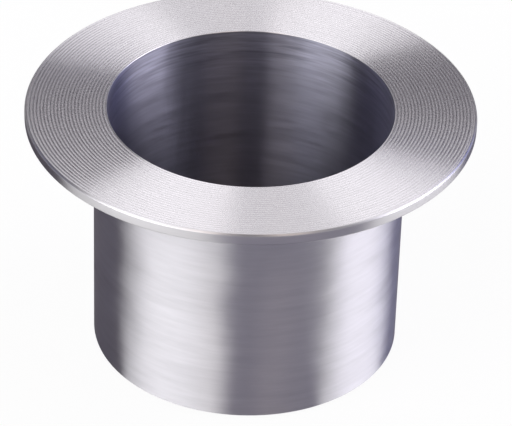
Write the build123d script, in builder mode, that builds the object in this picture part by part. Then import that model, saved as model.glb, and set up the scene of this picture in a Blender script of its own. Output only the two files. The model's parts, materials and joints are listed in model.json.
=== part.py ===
from build123d import *

from math import radians, tan
import os

# Lap joint stub end, nominal pipe size 2 1/2, schedule 10S, short pattern, with a square corner at the bore.
# It is turned in one piece. The origin is the centre of the weld end, which it stands on, and +Z runs up the
# bore to the lap face. Lengths are in millimetres and angles in degrees.

# Barrel: the same outside diameter and wall as the pipe that it is welded to
barrel_diameter = 73.03
wall_thickness = 3.05
overall_length = 63.5

# Lap: the flat collar that a loose flange presses against the gasket
lap_diameter = 105.0
lap_thickness = 3.05
face_edge_chamfer = 0.4
back_edge_chamfer = 0.6

# Neck: the round under the lap, which leaves a flat ring for the flange to bear on
standard_neck_radius = 8.0
narrowest_seat = 1.5

# Weld end: a bevel outside a square root face
root_face = 1.6
bevel_angle = 37.5

# Worked out from the sizes above
barrel_radius = barrel_diameter / 2
bore_radius = barrel_radius - wall_thickness
lap_radius = lap_diameter / 2
lap_back_height = overall_length - lap_thickness
bevel_height = (wall_thickness - root_face) * tan(radians(bevel_angle))

# The neck's round is the standard one, or what the width of a narrower lap leaves room for
widest_neck_radius = lap_radius - barrel_radius - back_edge_chamfer - narrowest_seat
neck_radius = min(standard_neck_radius, widest_neck_radius)

# Stub end: one wall section, drawn on the right of the bore's axis and turned round it
with BuildPart() as stub_end:
    with BuildSketch(Plane.XZ) as wall_section:
        with BuildLine() as outline:
            Polyline(
                (bore_radius, 0),
                (bore_radius + root_face, 0),
                (barrel_radius, bevel_height),
                (barrel_radius, lap_back_height),
                (lap_radius, lap_back_height),
                (lap_radius, overall_length),
                (bore_radius, overall_length),
                close=True,
            )
        make_face()

        # Neck: the round where the barrel turns out into the lap
        neck_corner = wall_section.vertices().sort_by_distance((barrel_radius, lap_back_height))[0]
        fillet(neck_corner, radius=neck_radius)

        # Rim: both edges of the lap taken off, the back one a little more
        back_corner = wall_section.vertices().sort_by_distance((lap_radius, lap_back_height))[0]
        chamfer(back_corner, length=back_edge_chamfer)
        face_corner = wall_section.vertices().sort_by_distance((lap_radius, overall_length))[0]
        chamfer(face_corner, length=face_edge_chamfer)
    revolve(axis=Axis.Z)

stub_end.part.label = "stub_end"

os.makedirs("parts", exist_ok=True)
export_step(stub_end.part, "parts/stub_end.step")
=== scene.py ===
"""Lap joint stub end in turned stainless steel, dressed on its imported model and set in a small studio."""

import json
import logging
import math
from dataclasses import dataclass, field
from enum import Enum

import bpy
from mathutils import Matrix, Vector


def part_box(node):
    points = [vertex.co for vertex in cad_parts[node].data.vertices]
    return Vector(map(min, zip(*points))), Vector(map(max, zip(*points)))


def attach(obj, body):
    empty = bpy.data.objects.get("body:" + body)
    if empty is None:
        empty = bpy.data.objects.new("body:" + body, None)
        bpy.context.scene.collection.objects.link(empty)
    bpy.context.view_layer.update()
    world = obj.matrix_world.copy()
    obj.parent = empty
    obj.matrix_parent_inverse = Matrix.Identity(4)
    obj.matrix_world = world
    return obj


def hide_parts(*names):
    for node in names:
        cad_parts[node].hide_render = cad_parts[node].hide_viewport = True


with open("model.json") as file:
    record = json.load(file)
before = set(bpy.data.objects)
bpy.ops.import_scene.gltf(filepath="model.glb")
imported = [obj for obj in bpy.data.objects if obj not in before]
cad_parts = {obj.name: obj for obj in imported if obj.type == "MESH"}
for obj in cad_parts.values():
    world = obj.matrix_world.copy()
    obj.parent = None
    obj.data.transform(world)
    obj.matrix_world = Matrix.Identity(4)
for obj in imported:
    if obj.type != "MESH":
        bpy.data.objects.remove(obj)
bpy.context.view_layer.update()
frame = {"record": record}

LOG = logging.getLogger("stub_end")

Tree = bpy.types.NodeTree
Socket = bpy.types.NodeSocket
Point = tuple[float, float, float]

MM = 0.001
NODE = "stub_end"

BEVEL_DEG = 37.5
# Edges that turn by more than this are shaded crisp, such as the crests of the spiral
CRISP_EDGE_DEG = 15.0

# Noise keeps mostly between these two values, so they count as its full swing
NOISE_SWING = (0.25, 0.75)
NOISE_DETAIL = 3.0
NOISE_ROUGHNESS = 0.6


class Region(Enum):
    """The turned surfaces of the fitting, in the order of their material slots."""

    LAP_FACE = 0
    RIM = 1
    BARREL = 2
    WELD_END = 3
    BORE = 4


def linear(hex_colour: str) -> tuple[float, float, float, float]:
    """Turns an sRGB colour to the linear one that a shader takes.

    Args:
        hex_colour: The colour as #rrggbb.

    Returns:
        Linear red, green, blue and an alpha of 1.
    """
    channels = [int(hex_colour[i : i + 2], 16) / 255 for i in (1, 3, 5)]
    lit = [c / 12.92 if c <= 0.04045 else ((c + 0.055) / 1.055) ** 2.4 for c in channels]
    return (lit[0], lit[1], lit[2], 1.0)


def heading(azimuth_deg: float) -> Vector:
    """Gives the level unit vector at an azimuth, which is 0 on the camera's side and grows to its right."""
    a = math.radians(azimuth_deg)
    return Vector((math.sin(a), -math.cos(a), 0.0))


def cleared_tree(owner: bpy.types.Material | bpy.types.World) -> Tree:
    """Turns on the nodes of a material or world and empties them.

    Args:
        owner: The material or world.

    Returns:
        Its empty node tree.
    """
    owner.use_nodes = True
    owner.node_tree.nodes.clear()
    return owner.node_tree


def add_node(
    tree: Tree, kind: str, inputs: dict[int | str, object] | None = None, **settings: object
) -> bpy.types.Node:
    """Adds one shader node with its settings, values and links.

    Args:
        tree: The node tree that gets the node.
        kind: The node's type name.
        inputs: For each input, by name or number, a value or the output socket that feeds it.
        **settings: Attributes of the node.

    Returns:
        The new node.
    """
    node = tree.nodes.new(kind)
    for name, value in settings.items():
        setattr(node, name, value)
    for name, value in (inputs or {}).items():
        if isinstance(value, Socket):
            tree.links.new(value, node.inputs[name])
        else:
            node.inputs[name].default_value = value
    return node


def maths(tree: Tree, operation: str, *values: float | Socket, **settings: object) -> Socket:
    """Adds one Math node.

    Args:
        tree: The node tree that gets the node.
        operation: The node's operation.
        *values: Its inputs in order, each a number or the socket that feeds it.
        **settings: Other attributes of the node.

    Returns:
        The socket that carries the result.
    """
    node = add_node(tree, "ShaderNodeMath", dict(enumerate(values)), operation=operation, **settings)
    return node.outputs[0]


def vector_maths(tree: Tree, operation: str, *values: Point | Socket) -> bpy.types.NodeOutputs:
    """Adds one Vector Math node.

    Args:
        tree: The node tree that gets the node.
        operation: The node's operation.
        *values: Its inputs in order, each a vector or the socket that feeds it.

    Returns:
        The node's outputs, "Vector" and "Value".
    """
    return add_node(tree, "ShaderNodeVectorMath", dict(enumerate(values)), operation=operation).outputs


def scaled(tree: Tree, vector: Point | Socket, scale: float | Socket) -> Socket:
    """Adds a node that scales a vector or a colour."""
    node = add_node(tree, "ShaderNodeVectorMath", {0: vector, "Scale": scale}, operation="SCALE")
    return node.outputs["Vector"]


def ramp(
    tree: Tree, value: Socket, source: tuple[float, float], target: tuple[float, float], **settings: object
) -> Socket:
    """Adds a node that carries a value from one range to another and holds it past the ends.

    Args:
        tree: The node tree that gets the node.
        value: The value.
        source: The range that it comes from.
        target: What the two ends of that range turn to.
        **settings: Attributes of the node.

    Returns:
        The socket that carries the result.
    """
    return add_node(tree, "ShaderNodeMapRange", {
        "Value": value,
        "From Min": source[0], "From Max": source[1],
        "To Min": target[0], "To Max": target[1],
    }, **settings).outputs[0]


@dataclass(frozen=True)
class Rings:
    """Fine rings that the tool leaves, drawn as relief."""

    width_mm: float
    depth_mm: float


@dataclass(frozen=True)
class Sway:
    """Faint unevenness round the axis, which makes the edge of a mirrored band waver."""

    length_mm: float
    width_mm: float
    slope: float


@dataclass(frozen=True)
class Chatter:
    """Darker and lighter rings that a long boring bar leaves as it enters; they die out down the bore."""

    width_mm: float
    tone: float
    end_mm: float
    full_mm: float


@dataclass(frozen=True)
class TurnedSteel:
    """Austenitic stainless steel as a lathe tool leaves it: metal grey, with fine rings round the axis.

    The rings make the surface rougher along the axis, or along the radius on a face, than round it, so light
    from a tent is drawn out into bands that run across the rings. Streaks are where the tool or the cloth bit
    a little more. Lengths run round the axis, and widths run across the rings.
    """

    name: str
    colour: str
    roughness: float
    anisotropy: float
    streak_length_mm: float
    streak_width_mm: float
    streak_tone: float
    streak_roughness: float
    rings: Rings | None = None
    sway: Sway | None = None
    chatter: Chatter | None = None
    on_face: bool = False

    def build(self) -> bpy.types.Material:
        """Makes the material.

        Returns:
            The finished material.
        """
        material = bpy.data.materials.new(self.name)
        tree = cleared_tree(material)
        point, across = self._places(tree)
        streaks = self._drawn_noise(tree, point, across, self.streak_length_mm, self.streak_width_mm)
        tone = self._swing(tree, streaks, 1.0, self.streak_tone)
        if self.chatter:
            tone = maths(tree, "MULTIPLY", tone, self._chatter_tone(tree, point, across, self.chatter))
        lay = add_node(tree, "ShaderNodeTangent", direction_type="RADIAL", axis="Z").outputs[0]
        shader = add_node(tree, "ShaderNodeBsdfPrincipled", {
            "Base Color": scaled(tree, linear(self.colour)[:3], tone),
            "Metallic": 1.0,
            "Roughness": self._swing(tree, streaks, self.roughness, self.streak_roughness),
            "Anisotropic": self.anisotropy,
            # A quarter turn, so that the surface is smooth along the rings and rough across them
            "Anisotropic Rotation": 0.25,
            "Tangent": lay,
        })
        if self.rings:
            normal = self._relief(tree, point, across, lay, self.rings)
            tree.links.new(normal, shader.inputs["Normal"])
        add_node(tree, "ShaderNodeOutputMaterial", {"Surface": shader.outputs[0]})
        return material

    def _places(self, tree: Tree) -> tuple[Socket, Socket]:
        """Adds the nodes that say where a point of the surface lies.

        Args:
            tree: The material's node tree.

        Returns:
            The point and its distance across the rings, both in millimetres.
        """
        place = add_node(tree, "ShaderNodeTexCoord")
        point = scaled(tree, place.outputs["Object"], 1 / MM)
        if self.on_face:
            level = vector_maths(tree, "MULTIPLY", point, (1.0, 1.0, 0.0))["Vector"]
            return point, vector_maths(tree, "LENGTH", level)["Value"]
        return point, add_node(tree, "ShaderNodeSeparateXYZ", {0: point}).outputs["Z"]

    def _drawn_noise(
        self, tree: Tree, point: Socket, across: Socket, length_mm: float, width_mm: float
    ) -> Socket:
        """Adds noise that is drawn out round the axis.

        Args:
            tree: The material's node tree.
            point: The surface point in millimetres.
            across: The distance across the rings in millimetres.
            length_mm: Length of a mark round the axis.
            width_mm: Width of a mark across the rings.

        Returns:
            The noise, from 0 to 1 about 0.5.
        """
        slow = scaled(tree, point, 1 / length_mm)
        parts = add_node(tree, "ShaderNodeSeparateXYZ", {0: slow})
        fast = maths(tree, "MULTIPLY", across, 1 / width_mm)
        drawn = add_node(tree, "ShaderNodeCombineXYZ", {
            0: parts.outputs["X"], 1: parts.outputs["Y"], 2: fast,
        })
        return add_node(tree, "ShaderNodeTexNoise", {
            "Vector": drawn.outputs[0], "Scale": 1.0, "Detail": NOISE_DETAIL, "Roughness": NOISE_ROUGHNESS,
        }).outputs[0]

    def _swing(self, tree: Tree, noise: Socket, middle: float, play: float) -> Socket:
        """Turns noise to a value that swings about a middle."""
        return ramp(tree, noise, NOISE_SWING, (middle - play, middle + play))

    def _chatter_tone(self, tree: Tree, point: Socket, across: Socket, chatter: Chatter) -> Socket:
        """Adds the chatter rings near the bore's mouth.

        Args:
            tree: The material's node tree.
            point: The surface point in millimetres.
            across: The height in millimetres.
            chatter: The rings.

        Returns:
            The factor that the rings put on the metal's tone.
        """
        rings = self._drawn_noise(tree, point, across, self.streak_length_mm, chatter.width_mm)
        near = ramp(tree, across, (chatter.end_mm, chatter.full_mm), (0.0, chatter.tone))
        swing = self._swing(tree, rings, 0.0, 1.0)
        return maths(tree, "MULTIPLY_ADD", swing, near, 1.0)

    def _relief(self, tree: Tree, point: Socket, across: Socket, lay: Socket, rings: Rings) -> Socket:
        """Adds the rings as relief, on a surface that may sway round the axis.

        Args:
            tree: The material's node tree.
            point: The surface point in millimetres.
            across: The distance across the rings in millimetres.
            lay: The direction round the axis.
            rings: The rings.

        Returns:
            The surface normal.
        """
        noise = self._drawn_noise(tree, point, across, self.streak_length_mm, rings.width_mm)
        height = maths(tree, "MULTIPLY", noise, rings.depth_mm)
        # The height is in millimetres
        bump = add_node(tree, "ShaderNodeBump", {"Strength": 1.0, "Distance": MM, "Height": height})
        if self.sway:
            swaying = self._drawn_noise(tree, point, across, self.sway.length_mm, self.sway.width_mm)
            lean = scaled(tree, lay, self._swing(tree, swaying, 0.0, self.sway.slope))
            upright = add_node(tree, "ShaderNodeNewGeometry").outputs["Normal"]
            leaning = vector_maths(tree, "ADD", upright, lean)["Vector"]
            tree.links.new(vector_maths(tree, "NORMALIZE", leaning)["Vector"], bump.inputs["Normal"])
        return bump.outputs[0]


# Cut with a round-nosed tool at a coarse feed: bright, with the light fanned out across the spiral. The
# spiral is real geometry, so the material adds only streaks along the cut
LAP_FACE_STEEL = TurnedSteel(
    name="spiral-cut stainless steel", colour="#d0cdd1", roughness=0.245, anisotropy=1.0,
    streak_length_mm=9.0, streak_width_mm=0.8, streak_tone=0.03, streak_roughness=0.01, on_face=True,
)
# Skimmed with a fine feed: soft grey with a faint grain round the edge. The feed of about 0.1 mm is too fine
# to show and is drawn as rings of 0.3 mm
RIM_STEEL = TurnedSteel(
    name="fine-turned stainless steel rim", colour="#cccacd", roughness=0.33, anisotropy=0.9,
    streak_length_mm=20.0, streak_width_mm=0.7, streak_tone=0.04, streak_roughness=0.03,
    rings=Rings(width_mm=0.3, depth_mm=0.002),
)
# Turned, then dressed with fine cloth while it spins: soft level streaks, and upright bands of light that
# waver. The cloth's scratches, some hundredths of a millimetre wide, are too fine to show and are drawn
# 0.5 mm wide
BARREL_STEEL = TurnedSteel(
    name="cloth-dressed stainless steel barrel", colour="#d1cfd4", roughness=0.4, anisotropy=1.0,
    streak_length_mm=14.0, streak_width_mm=1.3, streak_tone=0.07, streak_roughness=0.05,
    rings=Rings(width_mm=0.5, depth_mm=0.004),
    sway=Sway(length_mm=15.0, width_mm=8.0, slope=0.035),
)
# The bevel and root face left by the weld preparation cut: a plain grey with fine rings. The feed of about
# 0.1 mm is too fine to show and is drawn as rings of 0.25 mm
WELD_END_STEEL = TurnedSteel(
    name="bevel-cut stainless steel", colour="#cfcdd0", roughness=0.33, anisotropy=0.8,
    streak_length_mm=15.0, streak_width_mm=0.6, streak_tone=0.04, streak_roughness=0.04,
    rings=Rings(width_mm=0.25, depth_mm=0.003),
)
# Bored with a long bar: duller, with rings that show near the mouth. Its colour, darker and bluer than the
# outer steel, is painted shade of the deep bore. The feed of about 0.2 mm is too fine to show and is drawn as
# rings of 0.8 mm
BORE_STEEL = TurnedSteel(
    name="bored stainless steel with painted shade", colour="#abaab9", roughness=0.37, anisotropy=1.0,
    streak_length_mm=14.0, streak_width_mm=1.2, streak_tone=0.09, streak_roughness=0.04,
    rings=Rings(width_mm=0.8, depth_mm=0.003),
    sway=Sway(length_mm=6.0, width_mm=45.0, slope=0.035),
    chatter=Chatter(width_mm=0.8, tone=0.4, end_mm=48.0, full_mm=62.0),
)

FINISHES = {
    Region.LAP_FACE: LAP_FACE_STEEL,
    Region.RIM: RIM_STEEL,
    Region.BARREL: BARREL_STEEL,
    Region.WELD_END: WELD_END_STEEL,
    Region.BORE: BORE_STEEL,
}


@dataclass
class Shell:
    """The points and polygons of the fitting's one mesh while it is built."""

    points: list[Point] = field(default_factory=list)
    faces: list[tuple[int, ...]] = field(default_factory=list)
    regions: list[Region] = field(default_factory=list)

    def add_point(self, radius: float, angle: float, height: float) -> int:
        """Adds a point by its distance from the axis, its angle round it and its height, and numbers it."""
        self.points.append((radius * math.cos(angle), radius * math.sin(angle), height))
        return len(self.points) - 1

    def add_face(self, corners: tuple[int, ...], region: Region) -> None:
        """Adds a polygon of a region."""
        self.faces.append(corners)
        self.regions.append(region)

    def finish(self, name: str) -> bpy.types.Object:
        """Makes the mesh object and dresses each region.

        Args:
            name: Name of the object and of its mesh.

        Returns:
            The mesh object, in place.
        """
        mesh = bpy.data.meshes.new(name)
        mesh.from_pydata(self.points, [], self.faces)
        mesh.polygons.foreach_set("material_index", [r.value for r in self.regions])
        mesh.polygons.foreach_set("use_smooth", [True] * len(self.faces))
        mesh.update()
        mesh.set_sharp_from_angle(angle=math.radians(CRISP_EDGE_DEG))
        for region in Region:
            mesh.materials.append(FINISHES[region].build())
        piece = bpy.data.objects.new(name, mesh)
        bpy.context.scene.collection.objects.link(piece)
        return piece


@dataclass(frozen=True)
class Corner:
    """One corner of the wall's section, rounded, with the region that starts there."""

    radius: float
    height: float
    rounding: float
    steps: int
    region: Region


@dataclass(frozen=True)
class SpiralFinish:
    """The stock gasket finish: one spiral groove cut by a round-nosed tool as it feeds out from the bore."""

    inner_radius: float
    outer_radius: float
    face_height: float
    pitch: float = 0.8 * MM
    nose_radius: float = 1.6 * MM

    @property
    def depth(self) -> float:
        """Depth of the groove below the crests between two turns."""
        return self.nose_radius - math.sqrt(self.nose_radius**2 - (self.pitch / 2) ** 2)

    def height(self, radius: float, angle: float) -> float:
        """Gives the height of the cut face.

        Args:
            radius: Distance from the axis.
            angle: Angle round the axis.

        Returns:
            The height above the weld end, at or below the lap face's own height.
        """
        turn = (radius - self.inner_radius) / self.pitch - angle / math.tau
        from_groove = (turn - round(turn)) * self.pitch
        # The feed stops here, so the last cut runs level round the margin
        last_groove = self.outer_radius - self.pitch / 2
        if radius > last_groove:
            from_groove = radius - last_groove
        cut = self.nose_radius - math.sqrt(self.nose_radius**2 - from_groove**2)
        return self.face_height - self.depth + min(cut, self.depth)


@dataclass(frozen=True)
class StubEnd:
    """The fitting: one wall turned round the bore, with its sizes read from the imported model."""

    bore_radius: float
    barrel_radius: float
    lap_radius: float
    overall_length: float
    lap_back: float
    bevel_height: float
    neck_radius: float
    root_face: float
    face_chamfer: float = 0.4 * MM
    back_chamfer: float = 0.6 * MM
    rim_margin: float = 0.15 * MM
    rim_rounding: float = 0.35 * MM
    edge_rounding: float = 0.12 * MM
    edge_break: float = 0.1 * MM
    edge_break_height: float = 0.15 * MM
    columns: int = 360
    rows_per_turn: int = 8
    rim_steps: int = 5
    neck_steps: int = 16
    edge_steps: int = 3

    @classmethod
    def from_frame(cls) -> "StubEnd":
        """Reads the sizes from the node's box and from the record's mounts.

        Returns:
            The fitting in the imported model's sizes.
        """
        low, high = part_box(NODE)
        mounts = {m["name"]: m for m in frame["record"]["mounts"]}
        bore_radius = mounts["bore"]["dims"]["r_mm"] * MM
        barrel_radius = mounts["barrel"]["dims"]["r_mm"] * MM
        straight = mounts["barrel"]["dims"]["length_mm"] * MM
        lap_back = mounts["lap_back"]["pos_m"][2]
        # The weld end's mount is at the middle of the root face
        root_face = 2 * (mounts["weld_end"]["pos_m"][0] - bore_radius)
        bevel_height = (barrel_radius - bore_radius - root_face) * math.tan(math.radians(BEVEL_DEG))
        return cls(
            bore_radius=bore_radius,
            barrel_radius=barrel_radius,
            lap_radius=(high.x - low.x) / 2,
            overall_length=high.z,
            lap_back=lap_back,
            bevel_height=bevel_height,
            neck_radius=lap_back - bevel_height - straight,
            root_face=root_face,
        )

    def build(self) -> bpy.types.Object:
        """Builds the fitting as one mesh and dresses it.

        Returns:
            The mesh object, in place.
        """
        shell = Shell()
        outer_ring, inner_ring = self._cut_face(shell)
        self._turned_wall(shell, outer_ring, inner_ring)
        return shell.finish("stub_end_turned")

    def _angle(self, column: int) -> float:
        """Angle of a column of points round the axis."""
        return math.tau * column / self.columns

    def _ring(self, shell: Shell, radius: float, height: float) -> list[int]:
        """Adds one level ring of points and gives their numbers."""
        return [shell.add_point(radius, self._angle(column), height) for column in range(self.columns)]

    def _cut_face(self, shell: Shell) -> tuple[list[int], list[int]]:
        """Adds the spiral-cut face, as rows that follow the groove and run out at the bore and at the margin.

        Args:
            shell: Gets the face.

        Returns:
            The point numbers of the outer ring and of the ring at the bore's edge.
        """
        finish = SpiralFinish(
            inner_radius=self.bore_radius + self.edge_break,
            outer_radius=self.lap_radius - self.face_chamfer - self.rim_margin,
            face_height=self.overall_length,
        )
        outer_ring = self._ring(shell, finish.outer_radius, finish.face_height)
        inner_ring = []
        for column in range(self.columns):
            angle = self._angle(column)
            height = finish.height(finish.inner_radius, angle)
            inner_ring.append(shell.add_point(finish.inner_radius, angle, height))

        row_step = finish.pitch / self.rows_per_turn
        # A row's point nearer than this to the edge of the face becomes the edge's own
        nearest = row_step / 4
        rows = math.ceil((finish.outer_radius - finish.inner_radius) / row_step)
        grid: dict[tuple[int, int], int] = {}

        def point_at(row: int, column: int) -> int:
            """Finds the point on a row, which carries on as a later row after each full turn.

            Args:
                row: The row, counted out from the bore.
                column: The column, which may be one past a full turn.

            Returns:
                The point's number.
            """
            row += self.rows_per_turn * (column // self.columns)
            column %= self.columns
            angle = self._angle(column)
            radius = finish.inner_radius + row_step * row + finish.pitch * angle / math.tau
            if radius < finish.inner_radius + nearest:
                return inner_ring[column]
            if radius > finish.outer_radius - nearest:
                return outer_ring[column]
            if (row, column) not in grid:
                grid[row, column] = shell.add_point(radius, angle, finish.height(radius, angle))
            return grid[row, column]

        for row in range(-self.rows_per_turn - 1, rows + 1):
            for column in range(self.columns):
                corners = (
                    point_at(row, column), point_at(row + 1, column),
                    point_at(row + 1, column + 1), point_at(row, column + 1),
                )
                face = tuple(c for i, c in enumerate(corners) if c != corners[i - 1])
                if len(face) >= 3:
                    shell.add_face(face, Region.LAP_FACE)
        return outer_ring, inner_ring

    def _corners(self) -> list[Corner]:
        """Lists the corners of the wall's section, from the lap face's rim round to the bore's lower edge.

        Returns:
            The corners in order.
        """
        top, back = self.overall_length, self.lap_back
        rolled, at_rim = self.rim_rounding, self.rim_steps
        soft, at_edge = self.edge_rounding, self.edge_steps
        return [
            Corner(self.lap_radius - self.face_chamfer, top, rolled, at_rim, Region.RIM),
            Corner(self.lap_radius, top - self.face_chamfer, rolled, at_rim, Region.RIM),
            Corner(self.lap_radius, back + self.back_chamfer, rolled, at_rim, Region.RIM),
            Corner(self.lap_radius - self.back_chamfer, back, rolled, at_rim, Region.BARREL),
            Corner(self.barrel_radius, back, self.neck_radius, self.neck_steps, Region.BARREL),
            Corner(self.barrel_radius, self.bevel_height, soft, at_edge, Region.WELD_END),
            Corner(self.bore_radius + self.root_face, 0.0, soft, at_edge, Region.WELD_END),
            Corner(self.bore_radius, 0.0, soft, at_edge, Region.BORE),
        ]

    def _section(self) -> list[tuple[float, float, Region]]:
        """Gives the wall's section from the margin of the lap face round to the bore's edge.

        Returns:
            Radius and height of each point, with the region of the strip that starts there.
        """
        corners = self._corners()
        start = Vector((self.lap_radius - self.face_chamfer - self.rim_margin, self.overall_length))
        end = Vector((self.bore_radius, self.overall_length - self.edge_break_height))
        places = [start, *(Vector((c.radius, c.height)) for c in corners), end]
        section: list[tuple[float, float, Region]] = []
        for before_place, at_place, after_place, corner in zip(places, places[1:], places[2:], corners):
            before = (before_place - at_place).normalized()
            after = (after_place - at_place).normalized()
            half = before.angle(after) / 2
            centre = at_place + (before + after).normalized() * corner.rounding / math.sin(half)
            reach = corner.rounding / math.tan(half)
            first = at_place + before * reach - centre
            last = at_place + after * reach - centre
            sweep = first.angle_signed(last)
            for step in range(corner.steps + 1):
                spoke = first.copy()
                spoke.rotate(Matrix.Rotation(-sweep * step / corner.steps, 2))
                place = centre + spoke
                # Rounding errors must not put a point below the plane that the fitting stands on
                section.append((place.x, max(place.y, 0.0), corner.region))
        section.append((end.x, end.y, Region.RIM))
        return section

    def _turned_wall(self, shell: Shell, outer_ring: list[int], inner_ring: list[int]) -> None:
        """Adds the rest of the wall, from the margin round the outside and up the bore.

        Args:
            shell: Gets the wall.
            outer_ring: Point numbers of the cut face's outer ring.
            inner_ring: Point numbers of the bore's upper edge.
        """
        section = self._section()
        turned = [self._ring(shell, radius, height) for radius, height, _ in section]
        rings = [outer_ring, *turned, inner_ring]
        strips = [Region.LAP_FACE, *(region for _, _, region in section)]
        for upper, lower, region in zip(rings, rings[1:], strips):
            for column in range(self.columns):
                after = (column + 1) % self.columns
                shell.add_face((upper[column], lower[column], lower[after], upper[after]), region)


@dataclass(frozen=True)
class TentLight:
    """One evenly lit part of the white tent that stands round the table, by its direction from there.

    It fades in from the first azimuth to the second, counted from its middle, and out from the third to the
    fourth. Its elevations work in the same way. A part on the cloth ends where the cloth does.
    """

    name: str
    middle_deg: float
    azimuths_deg: tuple[float, float, float, float]
    elevations_deg: tuple[float, float, float, float]
    radiance: float
    tint: str = "#ffffff"
    on_cloth: bool = True

    def glow(self, tree: Tree, azimuth: Socket, elevation: Socket) -> Socket:
        """Adds the nodes that say how brightly it shows in a direction.

        Args:
            tree: The tent's node tree.
            azimuth: The direction's azimuth in degrees.
            elevation: The direction's elevation in degrees.

        Returns:
            The socket that carries its share of full brightness.
        """
        turned = maths(tree, "SUBTRACT", azimuth, self.middle_deg)
        from_middle = maths(tree, "WRAP", turned, 180.0, -180.0)
        parts = []
        for value, limits in ((from_middle, self.azimuths_deg), (elevation, self.elevations_deg)):
            start, full, fade, end = limits
            parts.append(ramp(tree, value, (start, full), (0.0, 1.0), interpolation_type="SMOOTHSTEP"))
            parts.append(ramp(tree, value, (fade, end), (1.0, 0.0), interpolation_type="SMOOTHSTEP"))
        share = parts[0]
        for part in parts[1:]:
            share = maths(tree, "MULTIPLY", share, part)
        return share


def lay_painted_shade(
    name: str, points: list[Point], faces: list[tuple[int, ...]], colour: str, cover: list[float]
) -> bpy.types.Object:
    """Lays a matt sheet that only the metal sees: painted shade in the metal's reflections.

    Args:
        name: Name of the sheet.
        points: Its corners.
        faces: Its polygons.
        colour: The colour of the painted shade as #rrggbb.
        cover: For each corner, how much it hides of what lies under it.

    Returns:
        The sheet.
    """
    mesh = bpy.data.meshes.new(name)
    mesh.from_pydata(points, [], faces)
    mesh.attributes.new("cover", "FLOAT", "POINT").data.foreach_set("value", cover)
    material = bpy.data.materials.new(f"{name} paper")
    tree = cleared_tree(material)
    shares = add_node(tree, "ShaderNodeAttribute", attribute_type="GEOMETRY", attribute_name="cover")
    clear = add_node(tree, "ShaderNodeBsdfTransparent")
    # Painted shade: a dark matt colour that only the metal's reflections show
    painted_shade = add_node(tree, "ShaderNodeBsdfDiffuse", {"Color": linear(colour)})
    mix = add_node(tree, "ShaderNodeMixShader", {
        0: shares.outputs["Fac"], 1: clear.outputs[0], 2: painted_shade.outputs[0],
    })
    add_node(tree, "ShaderNodeOutputMaterial", {"Surface": mix.outputs[0]})
    mesh.materials.append(material)
    sheet = bpy.data.objects.new(name, mesh)
    sheet.visible_camera = False
    sheet.visible_diffuse = False
    sheet.visible_shadow = False
    bpy.context.scene.collection.objects.link(sheet)
    return sheet


@dataclass(frozen=True)
class ReflectionShadeSheet:
    """A dark sheet round the barrel's foot that only the metal sees: it paints darker reflections where the
    bright barrel would otherwise mirror the white floor.

    Each side edge leaves the foot at an azimuth and runs off along a bearing. The sheet thins out towards it.
    """

    name: str
    first_foot_deg: float
    first_bearing_deg: float
    last_foot_deg: float
    last_bearing_deg: float
    colour: str
    foot_radius: float = 36.6 * MM
    reach: float = 1.2
    lift: float = 0.3 * MM
    steps: int = 48
    first_fade_deg: float = 5.0
    last_fade_deg: float = 5.0

    def lay(self) -> bpy.types.Object:
        """Lays the sheet of painted shade on the floor, where only the metal sees it.

        Returns:
            The sheet.
        """
        inner, outer = [], []
        for step in range(self.steps + 1):
            along = step / self.steps
            foot = heading(self.first_foot_deg + (self.last_foot_deg - self.first_foot_deg) * along)
            bearing = self.first_bearing_deg + (self.last_bearing_deg - self.first_bearing_deg) * along
            inner.append(foot * self.foot_radius)
            outer.append(foot * self.foot_radius + heading(bearing) * self.reach)
        points = [(p.x, p.y, self.lift) for p in inner + outer]
        first_outer = len(inner)
        faces = [(i, i + 1, first_outer + i + 1, first_outer + i) for i in range(self.steps)]
        return lay_painted_shade(self.name, points, faces, self.colour, self._cover())

    def _cover(self) -> list[float]:
        """Works out how much of the floor the sheet hides, which fades smoothly to nothing at its side edges.

        Returns:
            The share for each point, along the foot and then along the far edge.
        """
        span = self.last_foot_deg - self.first_foot_deg
        cover = []
        for step in range(self.steps + 1):
            along = step / self.steps
            share = min(1.0, span * along / self.first_fade_deg, span * (1 - along) / self.last_fade_deg)
            cover.append(share * share * (3 - 2 * share))
        return cover + cover


@dataclass(frozen=True)
class BoreShadeDisc:
    """A dark disc on the floor inside the bore that only the metal sees: painted shade of the deep hole,
    which the bore's wall mirrors.
    """

    name: str
    colour: str
    radius: float = 33.3 * MM
    lift: float = 0.3 * MM
    columns: int = 64

    def lay(self) -> bpy.types.Object:
        """Lays the disc on the floor, where only the metal sees it.

        Returns:
            The disc.
        """
        turns = [math.tau * column / self.columns for column in range(self.columns)]
        points = [(self.radius * math.cos(a), self.radius * math.sin(a), self.lift) for a in turns]
        return lay_painted_shade(self.name, points, [tuple(range(self.columns))], self.colour, [1.0] * self.columns)


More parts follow.
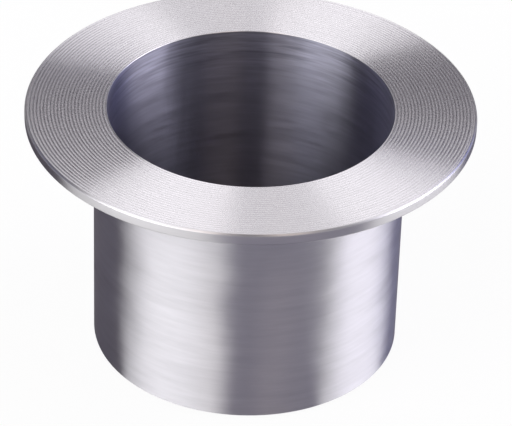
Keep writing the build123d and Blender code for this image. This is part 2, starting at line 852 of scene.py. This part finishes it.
@dataclass(frozen=True)
class Studio:
    """A pale floor that curves up far away, inside a white light tent that is open towards the front.

    The tent's cloth reaches from the left seam round the front to the right seam, and the worn seams bound a
    strip that passes less light. On the plan of directions every seam is a straight line through one post
    behind the table, whose distance is the cosine of the camera's elevation. The lap mirrors the post to the
    camera, so each seam draws a straight edge across the lap at its own angle.
    """

    lights: tuple[TentLight, ...]
    shade_sheets: tuple[ReflectionShadeSheet | BoreShadeDisc, ...]
    dim: str = "#5f5b63"
    left_seam_deg: float = 39.5
    right_seam_deg: float = 160.0
    worn_seams_deg: tuple[float, float] = (84.0, 117.5)
    worn_share: float = 0.56
    post: float = 0.8246
    seam_softness: float = 0.01
    floor_reach: float = 4.0
    floor_columns: int = 96
    wall_height: float = 0.5
    wall_curve: float = 0.4
    wall_steps: int = 10
    floor_colour: str = "#f2f2f2"
    floor_whiteness: float = 0.93
    whiteness_in_bore: float = 0.6
    bore_floor_radius: float = 34.8 * MM
    bore_floor_blend: float = 0.5 * MM

    def build(self) -> None:
        """Lays the floor and the sheets of painted shade and lights the tent."""
        self._floor()
        for shade_sheet in self.shade_sheets:
            shade_sheet.lay()
            LOG.info("laid the %s", shade_sheet.name)
        self._tent()
        LOG.info("lit the tent's %d parts", len(self.lights))

    def _floor(self) -> bpy.types.Object:
        """Makes the floor and the low wall that it curves up into.

        Returns:
            The floor.
        """
        flat_reach = self.floor_reach - self.wall_curve
        profile = [(flat_reach, 0.0)]
        for step in range(1, self.wall_steps + 1):
            a = math.pi / 2 * step / self.wall_steps
            profile.append((flat_reach + self.wall_curve * math.sin(a), self.wall_curve * (1 - math.cos(a))))
        profile.append((self.floor_reach, self.wall_height))
        columns = self.floor_columns
        points = [(0.0, 0.0, 0.0)]
        for radius, height in profile:
            for column in range(columns):
                a = math.tau * column / columns
                points.append((radius * math.cos(a), radius * math.sin(a), height))
        faces: list[tuple[int, ...]] = []
        for column in range(columns):
            after = (column + 1) % columns
            faces.append((0, 1 + column, 1 + after))
            for ring in range(len(profile) - 1):
                low, high = 1 + ring * columns, 1 + (ring + 1) * columns
                faces.append((low + column, high + column, high + after, low + after))
        mesh = bpy.data.meshes.new("studio_floor")
        mesh.from_pydata(points, [], faces)
        mesh.polygons.foreach_set("use_smooth", [True] * len(faces))
        mesh.materials.append(self._floor_paint())
        floor = bpy.data.objects.new("studio_floor", mesh)
        bpy.context.scene.collection.objects.link(floor)
        return floor

    def _floor_paint(self) -> bpy.types.Material:
        """Makes the floor's matt white paint, which shows white but keeps the shadow, mostly inside the bore.

        Returns:
            The paint.
        """
        material = bpy.data.materials.new("matt white floor paint")
        tree = cleared_tree(material)
        path = add_node(tree, "ShaderNodeLightPath").outputs
        seen = maths(tree, "ADD", path["Is Camera Ray"], path["Is Glossy Ray"])
        seen = maths(tree, "ADD", seen, path["Is Transmission Ray"], use_clamp=True)
        place = add_node(tree, "ShaderNodeTexCoord")
        radius = vector_maths(tree, "LENGTH", place.outputs["Object"])["Value"]
        edge = (self.bore_floor_radius, self.bore_floor_radius + self.bore_floor_blend)
        whiteness = ramp(tree, radius, edge, (self.whiteness_in_bore, self.floor_whiteness))
        paint = add_node(tree, "ShaderNodeBsdfDiffuse", {"Color": linear(self.floor_colour)})
        white = add_node(tree, "ShaderNodeEmission", {"Color": (1.0, 1.0, 1.0, 1.0), "Strength": 1.0})
        mix = add_node(tree, "ShaderNodeMixShader", {
            0: maths(tree, "MULTIPLY", seen, whiteness), 1: paint.outputs[0], 2: white.outputs[0],
        })
        add_node(tree, "ShaderNodeOutputMaterial", {"Surface": mix.outputs[0]})
        return material

    def _tent(self) -> None:
        """Lights the tent's parts, and ends those on the cloth at its seams."""
        world = bpy.data.worlds.new("white light tent")
        bpy.context.scene.world = world
        tree = cleared_tree(world)
        way = add_node(tree, "ShaderNodeTexCoord").outputs["Generated"]
        parts = add_node(tree, "ShaderNodeSeparateXYZ", {0: way}).outputs
        front = maths(tree, "MULTIPLY", parts["Y"], -1.0)
        azimuth = maths(tree, "DEGREES", maths(tree, "ARCTAN2", parts["X"], front))
        elevation = maths(tree, "DEGREES", maths(tree, "ARCSINE", parts["Z"]))
        cloth = self._cloth(tree, way)
        total: Point | Socket = linear(self.dim)[:3]
        for light in self.lights:
            glow = light.glow(tree, azimuth, elevation)
            if light.on_cloth:
                glow = maths(tree, "MULTIPLY", glow, cloth)
            power = tuple(light.radiance * c for c in linear(light.tint)[:3])
            total = vector_maths(tree, "ADD", total, scaled(tree, power, glow))["Vector"]
        background = add_node(tree, "ShaderNodeBackground", {"Color": total, "Strength": 1.0})
        add_node(tree, "ShaderNodeOutputWorld", {"Surface": background.outputs[0]})

    def _cloth(self, tree: Tree, way: Socket) -> Socket:
        """Adds the nodes that say how much light the tent's cloth passes in a direction.

        Args:
            tree: The tent's node tree.
            way: The direction.

        Returns:
            The socket that carries the share: 1 on the cloth, less on its worn strip and 0 beyond the seams.
        """
        before_right = self._side(tree, way, self.right_seam_deg, 1.0, 0.0)
        past_left = self._side(tree, way, self.left_seam_deg, 0.0, 1.0)
        whole = maths(tree, "MULTIPLY", before_right, past_left)
        first, last = self.worn_seams_deg
        past_first = self._side(tree, way, first, 0.0, 1.0)
        before_last = self._side(tree, way, last, 1.0, 0.0)
        worn = maths(tree, "MULTIPLY", past_first, before_last)
        passed = maths(tree, "MULTIPLY_ADD", worn, self.worn_share - 1, 1.0)
        return maths(tree, "MULTIPLY", whole, passed)

    def _side(self, tree: Tree, way: Socket, seam_deg: float, before: float, after: float) -> Socket:
        """Tells on which side of a seam a direction lies.

        Args:
            tree: The tent's node tree.
            way: The direction.
            seam_deg: Angle of the seam's line through the post, counted from the right on the plan.
            before: Value on this side of the seam, on a sweep from the left round the front to the right.
            after: Value past the seam on that sweep.

        Returns:
            The value, which changes softly over the seam.
        """
        a = math.radians(seam_deg)
        past = vector_maths(tree, "DOT_PRODUCT", way, (math.sin(a), -math.cos(a), 0.0))["Value"]
        middle = -math.cos(a) * self.post
        return ramp(tree, past, (middle - self.seam_softness, middle + self.seam_softness), (before, after))


@dataclass(frozen=True)
class PhotoCamera:
    """A long lens that looks down on the lap from the front."""

    back: float = 627.27 * MM
    above_lap: float = 400.28 * MM
    tilt_deg: float = 34.450
    pan_deg: float = 0.176
    roll_deg: float = 1.839
    focal_px: float = 3206.1
    frame_px: float = 512.0
    sensor_mm: float = 36.0
    nearest: float = 0.05
    farthest: float = 20.0

    def place(self, lap_height: float) -> bpy.types.Object:
        """Sets up the camera and makes it the scene's.

        Args:
            lap_height: Height of the lap face above the floor.

        Returns:
            The camera.
        """
        data = bpy.data.cameras.new("photo camera")
        data.sensor_width = self.sensor_mm
        data.lens = self.focal_px / self.frame_px * self.sensor_mm
        data.clip_start = self.nearest
        data.clip_end = self.farthest
        camera = bpy.data.objects.new("photo camera", data)
        camera.location = (0.0, -self.back, lap_height + self.above_lap)
        tilt, pan, roll = (math.radians(a) for a in (self.tilt_deg, self.pan_deg, self.roll_deg))
        forward = Vector((math.sin(pan) * math.cos(tilt), math.cos(pan) * math.cos(tilt), -math.sin(tilt)))
        right = forward.cross(Vector((0.0, 0.0, 1.0))).normalized()
        up = right.cross(forward)
        rolled_right = right * math.cos(roll) + up * math.sin(roll)
        rolled_up = up * math.cos(roll) - right * math.sin(roll)
        axes = Matrix((rolled_right, rolled_up, -forward)).transposed()
        camera.rotation_mode = "QUATERNION"
        camera.rotation_quaternion = axes.to_quaternion()
        bpy.context.scene.collection.objects.link(camera)
        bpy.context.scene.camera = camera
        return camera


TENT_LIGHTS = (
    TentLight("left side", -56.0, (-37.0, -8.0, 4.0, 53.0), (-30.0, -20.0, 3.0, 68.0), 4.9),
    TentLight("right side", 92.0, (-33.0, -16.0, 4.0, 32.0), (-30.0, -20.0, 0.0, 60.0), 6.3, tint="#f7f5ff"),
    TentLight("ceiling", -169.0, (-165.0, -115.0, 115.0, 165.0), (36.0, 54.0, 120.0, 130.0), 0.9),
    TentLight("back arch", 180.0, (-60.0, -25.0, 25.0, 60.0), (34.0, 42.0, 60.0, 76.0), 1.0),
    TentLight(
        "slit behind", 180.5, (-9.0, -6.0, 6.0, 9.0), (-30.0, -20.0, 28.0, 38.0), 1.3,
        on_cloth=False,
    ),
    TentLight(
        "front left", -26.0, (-14.0, -8.0, 6.0, 12.0), (24.0, 46.0, 80.0, 95.0), 1.3,
        tint="#ffeee0", on_cloth=False,
    ),
    TentLight(
        "front right", 22.0, (-10.0, -5.0, 10.0, 26.0), (28.0, 50.0, 80.0, 95.0), 1.3,
        tint="#ffeee0", on_cloth=False,
    ),
    TentLight(
        "front low", 14.0, (-40.0, -25.0, 32.0, 50.0), (0.0, 8.0, 22.0, 36.0), 0.45,
        tint="#f6f3fa", on_cloth=False,
    ),
    TentLight(
        "right dusk", 122.0, (-24.0, -10.0, 8.0, 26.0), (-30.0, -20.0, 0.0, 60.0), 0.9,
        tint="#a2a9ff", on_cloth=False,
    ),
    TentLight(
        "left dusk", -112.0, (-24.0, -10.0, 8.0, 24.0), (-30.0, -20.0, 0.0, 60.0), 0.15,
        tint="#98a4ff", on_cloth=False,
    ),
)

# Sheets that only the metal sees: painted shade in its reflections, for the barrel's darker bands and the
# bore's dusk
SHADE_SHEETS = (
    ReflectionShadeSheet("front painted reflection shade", -13.4, -26.5, 32.2, 64.5, "#8e8d99", first_fade_deg=11.0),
    ReflectionShadeSheet("right painted reflection shade", 60.0, 120.0, 171.0, 171.0, "#75747f"),
    ReflectionShadeSheet("left painted reflection shade", 191.0, 190.0, 312.0, 264.0, "#57525a"),
    BoreShadeDisc("bore painted shade disc", "#3a312e"),
)


def main() -> None:
    """Builds the fitting, the studio and the camera."""
    logging.basicConfig(level=logging.INFO, format="%(name)s: %(message)s")
    bpy.context.scene.view_settings.view_transform = "Standard"

    fitting = StubEnd.from_frame()
    piece = fitting.build()
    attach(piece, "root")
    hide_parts(NODE)
    LOG.info("%s: %d points, %d faces", piece.name, len(piece.data.vertices), len(piece.data.polygons))

    Studio(lights=TENT_LIGHTS, shade_sheets=SHADE_SHEETS).build()
    PhotoCamera().place(fitting.overall_length)


if __name__ == "__main__":
    main()
